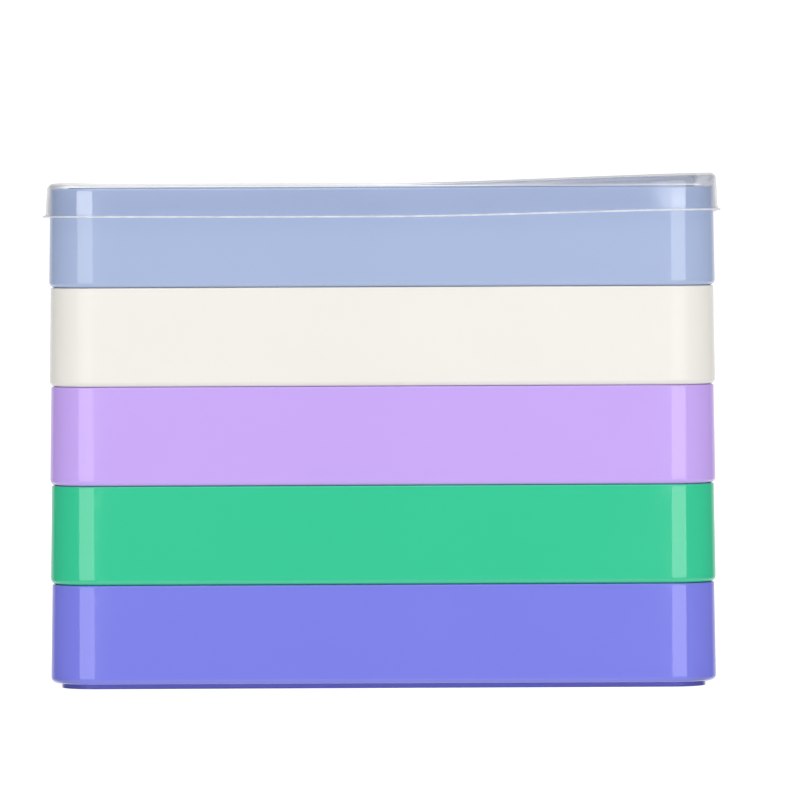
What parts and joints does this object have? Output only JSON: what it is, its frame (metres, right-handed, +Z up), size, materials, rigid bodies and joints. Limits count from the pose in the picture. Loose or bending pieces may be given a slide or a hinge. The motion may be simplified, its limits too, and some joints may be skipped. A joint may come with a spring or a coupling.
{
  "type": "compartment storage box",
  "caption": "Stack of shallow rounded trays with loose dividers, each nesting in the rim below, under a thin clear lid.",
  "frame": {"origin": "middle of the footprint, at the underside of the lowest tray's foot ring", "axes": "+X along the long side to the right, +Y from the front to the back, +Z up"},
  "size_m": [0.1934, 0.1234, 0.1429],
  "materials": {
    "indigo_plastic": "gloss",
    "green_plastic": "gloss",
    "lilac_plastic": "gloss",
    "ivory_plastic": "gloss",
    "blue_plastic": "gloss",
    "clear_film": "gloss"
  },
  "bodies": {
    "tray_1": {"tray_1_indigo": "indigo_plastic"},
    "tray_2": {"tray_2_green": "green_plastic"},
    "tray_3": {"tray_3_lilac": "lilac_plastic"},
    "tray_4": {"tray_4_ivory": "ivory_plastic"},
    "tray_5": {"tray_5_blue": "blue_plastic"},
    "lid": {"clear_lid": "clear_film"},
    "divider_1_front_left": {"divider_1_front_left": "indigo_plastic"},
    "divider_1_front_right": {"divider_1_front_right": "indigo_plastic"},
    "divider_1_back_left": {"divider_1_back_left": "indigo_plastic"},
    "divider_1_back_right": {"divider_1_back_right": "indigo_plastic"},
    "divider_2_front_left": {"divider_2_front_left": "green_plastic"},
    "divider_2_front_right": {"divider_2_front_right": "green_plastic"},
    "divider_2_back_left": {"divider_2_back_left": "green_plastic"},
    "divider_2_back_right": {"divider_2_back_right": "green_plastic"},
    "divider_3_front_left": {"divider_3_front_left": "lilac_plastic"},
    "divider_3_front_right": {"divider_3_front_right": "lilac_plastic"},
    "divider_3_back_left": {"divider_3_back_left": "lilac_plastic"},
    "divider_3_back_right": {"divider_3_back_right": "lilac_plastic"},
    "divider_4_front_left": {"divider_4_front_left": "ivory_plastic"},
    "divider_4_front_right": {"divider_4_front_right": "ivory_plastic"},
    "divider_4_back_left": {"divider_4_back_left": "ivory_plastic"},
    "divider_4_back_right": {"divider_4_back_right": "ivory_plastic"},
    "divider_5_front_left": {"divider_5_front_left": "blue_plastic"},
    "divider_5_front_right": {"divider_5_front_right": "blue_plastic"},
    "divider_5_back_left": {"divider_5_back_left": "blue_plastic"},
    "divider_5_back_right": {"divider_5_back_right": "blue_plastic"}
  },
  "joints": [
    {"name": "tray_2_lift", "type": "slide", "parent": "tray_1", "child": "tray_2", "axis": [0, 0, 1], "range_m": [0, 0.07]},
    {"name": "tray_3_lift", "type": "slide", "parent": "tray_2", "child": "tray_3", "axis": [0, 0, 1], "range_m": [0, 0.07]},
    {"name": "tray_4_lift", "type": "slide", "parent": "tray_3", "child": "tray_4", "axis": [0, 0, 1], "range_m": [0, 0.07]},
    {"name": "tray_5_lift", "type": "slide", "parent": "tray_4", "child": "tray_5", "axis": [0, 0, 1], "range_m": [0, 0.07]},
    {"name": "lid_lift", "type": "slide", "parent": "tray_5", "child": "lid", "axis": [0, 0, 1], "range_m": [0, 0.07]},
    {"name": "divider_1_front_left_slide", "type": "slide", "parent": "tray_1", "child": "divider_1_front_left", "axis": [0, 0, 1], "range_m": [0, 0.028]},
    {"name": "divider_1_front_right_slide", "type": "slide", "parent": "tray_1", "child": "divider_1_front_right", "axis": [0, 0, 1], "range_m": [0, 0.028]},
    {"name": "divider_1_back_left_slide", "type": "slide", "parent": "tray_1", "child": "divider_1_back_left", "axis": [0, 0, 1], "range_m": [0, 0.028]},
    {"name": "divider_1_back_right_slide", "type": "slide", "parent": "tray_1", "child": "divider_1_back_right", "axis": [0, 0, 1], "range_m": [0, 0.028]},
    {"name": "divider_2_front_left_slide", "type": "slide", "parent": "tray_2", "child": "divider_2_front_left", "axis": [0, 0, 1], "range_m": [0, 0.028]},
    {"name": "divider_2_front_right_slide", "type": "slide", "parent": "tray_2", "child": "divider_2_front_right", "axis": [0, 0, 1], "range_m": [0, 0.028]},
    {"name": "divider_2_back_left_slide", "type": "slide", "parent": "tray_2", "child": "divider_2_back_left", "axis": [0, 0, 1], "range_m": [0, 0.028]},
    {"name": "divider_2_back_right_slide", "type": "slide", "parent": "tray_2", "child": "divider_2_back_right", "axis": [0, 0, 1], "range_m": [0, 0.028]},
    {"name": "divider_3_front_left_slide", "type": "slide", "parent": "tray_3", "child": "divider_3_front_left", "axis": [0, 0, 1], "range_m": [0, 0.028]},
    {"name": "divider_3_front_right_slide", "type": "slide", "parent": "tray_3", "child": "divider_3_front_right", "axis": [0, 0, 1], "range_m": [0, 0.028]},
    {"name": "divider_3_back_left_slide", "type": "slide", "parent": "tray_3", "child": "divider_3_back_left", "axis": [0, 0, 1], "range_m": [0, 0.028]},
    {"name": "divider_3_back_right_slide", "type": "slide", "parent": "tray_3", "child": "divider_3_back_right", "axis": [0, 0, 1], "range_m": [0, 0.028]},
    {"name": "divider_4_front_left_slide", "type": "slide", "parent": "tray_4", "child": "divider_4_front_left", "axis": [0, 0, 1], "range_m": [0, 0.028]},
    {"name": "divider_4_front_right_slide", "type": "slide", "parent": "tray_4", "child": "divider_4_front_right", "axis": [0, 0, 1], "range_m": [0, 0.028]},
    {"name": "divider_4_back_left_slide", "type": "slide", "parent": "tray_4", "child": "divider_4_back_left", "axis": [0, 0, 1], "range_m": [0, 0.028]},
    {"name": "divider_4_back_right_slide", "type": "slide", "parent": "tray_4", "child": "divider_4_back_right", "axis": [0, 0, 1], "range_m": [0, 0.028]},
    {"name": "divider_5_front_left_slide", "type": "slide", "parent": "tray_5", "child": "divider_5_front_left", "axis": [0, 0, 1], "range_m": [0, 0.028]},
    {"name": "divider_5_front_right_slide", "type": "slide", "parent": "tray_5", "child": "divider_5_front_right", "axis": [0, 0, 1], "range_m": [0, 0.028]},
    {"name": "divider_5_back_left_slide", "type": "slide", "parent": "tray_5", "child": "divider_5_back_left", "axis": [0, 0, 1], "range_m": [0, 0.028]},
    {"name": "divider_5_back_right_slide", "type": "slide", "parent": "tray_5", "child": "divider_5_back_right", "axis": [0, 0, 1], "range_m": [0, 0.028]}
  ],
  "couplings": [
    {"joint": "divider_1_front_left_slide", "follows": "tray_2_lift", "ratio": 0.4},
    {"joint": "divider_1_front_right_slide", "follows": "tray_2_lift", "ratio": 0.4},
    {"joint": "divider_1_back_left_slide", "follows": "tray_2_lift", "ratio": 0.4},
    {"joint": "divider_1_back_right_slide", "follows": "tray_2_lift", "ratio": 0.4},
    {"joint": "divider_2_front_left_slide", "follows": "tray_3_lift", "ratio": 0.4},
    {"joint": "divider_2_front_right_slide", "follows": "tray_3_lift", "ratio": 0.4},
    {"joint": "divider_2_back_left_slide", "follows": "tray_3_lift", "ratio": 0.4},
    {"joint": "divider_2_back_right_slide", "follows": "tray_3_lift", "ratio": 0.4},
    {"joint": "divider_3_front_left_slide", "follows": "tray_4_lift", "ratio": 0.4},
    {"joint": "divider_3_front_right_slide", "follows": "tray_4_lift", "ratio": 0.4},
    {"joint": "divider_3_back_left_slide", "follows": "tray_4_lift", "ratio": 0.4},
    {"joint": "divider_3_back_right_slide", "follows": "tray_4_lift", "ratio": 0.4},
    {"joint": "divider_4_front_left_slide", "follows": "tray_5_lift", "ratio": 0.4},
    {"joint": "divider_4_front_right_slide", "follows": "tray_5_lift", "ratio": 0.4},
    {"joint": "divider_4_back_left_slide", "follows": "tray_5_lift", "ratio": 0.4},
    {"joint": "divider_4_back_right_slide", "follows": "tray_5_lift", "ratio": 0.4},
    {"joint": "divider_5_front_left_slide", "follows": "lid_lift", "ratio": 0.4},
    {"joint": "divider_5_front_right_slide", "follows": "lid_lift", "ratio": 0.4},
    {"joint": "divider_5_back_left_slide", "follows": "lid_lift", "ratio": 0.4},
    {"joint": "divider_5_back_right_slide", "follows": "lid_lift", "ratio": 0.4}
  ]
}
